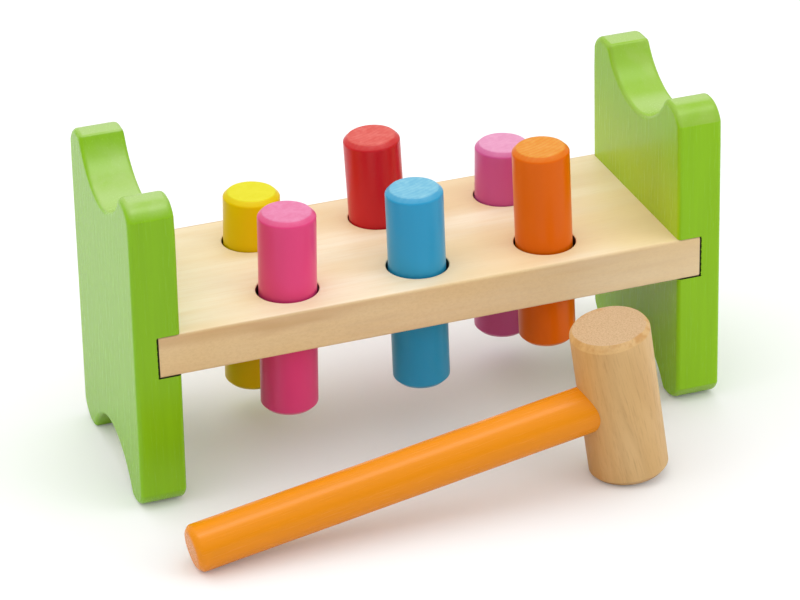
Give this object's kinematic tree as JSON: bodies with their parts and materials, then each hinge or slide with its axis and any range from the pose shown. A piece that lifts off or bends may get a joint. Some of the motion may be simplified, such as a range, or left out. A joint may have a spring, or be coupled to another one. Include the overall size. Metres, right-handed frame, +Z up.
{
  "type": "peg pounding bench",
  "caption": "Wooden toy bench whose coloured pegs are driven down through holes in a plank with a small mallet, then turned over and driven back.",
  "frame": {"origin": "middle of the footprint of the whole set, bench and hammer, on the table that both stand on", "axes": "+X along the plank from the left to the right end panel, +Z up, and -Y towards the side where the hammer lies"},
  "size_m": [0.25, 0.1482, 0.136],
  "materials": {
    "green_paint": "satin water-based paint over fine-grained wood",
    "plain_wood": "bare sanded pale wood with fine grain",
    "yellow_paint": "satin paint over a turned dowel",
    "pink_paint": "satin paint over a turned dowel",
    "red_paint": "satin paint over a turned dowel",
    "blue_paint": "satin paint over a turned dowel",
    "violet_paint": "satin paint over a turned dowel",
    "orange_paint": "satin paint over a turned dowel",
    "ring_rubber": "matt black rubber",
    "head_wood": "bare turned hardwood, end grain on the faces",
    "handle_paint": "satin amber paint over a turned dowel"
  },
  "bodies": {
    "bench": {"left_end_panel": "green_paint", "right_end_panel": "green_paint", "bench_plank": "plain_wood", "yellow_peg_ring": "ring_rubber", "pink_peg_ring": "ring_rubber", "red_peg_ring": "ring_rubber", "blue_peg_ring": "ring_rubber", "violet_peg_ring": "ring_rubber", "orange_peg_ring": "ring_rubber"},
    "yellow_peg": {"yellow_peg": "yellow_paint"},
    "pink_peg": {"pink_peg": "pink_paint"},
    "red_peg": {"red_peg": "red_paint"},
    "blue_peg": {"blue_peg": "blue_paint"},
    "violet_peg": {"violet_peg": "violet_paint"},
    "orange_peg": {"orange_peg": "orange_paint"},
    "hammer": {"hammer_head": "head_wood", "hammer_handle": "handle_paint"}
  },
  "joints": [
    {"name": "yellow_peg_slide", "type": "slide", "parent": "bench", "child": "yellow_peg", "axis": [0.0349, 0, 0.9994], "range_m": [-0.0108, 0.0369]},
    {"name": "pink_peg_slide", "type": "slide", "parent": "bench", "child": "pink_peg", "axis": [0.0244, 0, 0.9997], "range_m": [-0.0235, 0.0244]},
    {"name": "red_peg_slide", "type": "slide", "parent": "bench", "child": "red_peg", "axis": [-0.0419, 0, 0.9991], "range_m": [-0.0268, 0.0209]},
    {"name": "blue_peg_slide", "type": "slide", "parent": "bench", "child": "blue_peg", "axis": [-0.0175, 0, 0.9998], "range_m": [-0.024, 0.0241]},
    {"name": "violet_peg_slide", "type": "slide", "parent": "bench", "child": "violet_peg", "axis": [0.0157, 0, 0.9999], "range_m": [-0.0131, 0.035]},
    {"name": "orange_peg_slide", "type": "slide", "parent": "bench", "child": "orange_peg", "axis": [-0.0314, 0, 0.9995], "range_m": [-0.0321, 0.0158]},
    {"name": "hammer_lift", "type": "slide", "parent": "bench", "child": "hammer", "axis": [0, 0, 1], "range_m": [0, 0.15]}
  ]
}
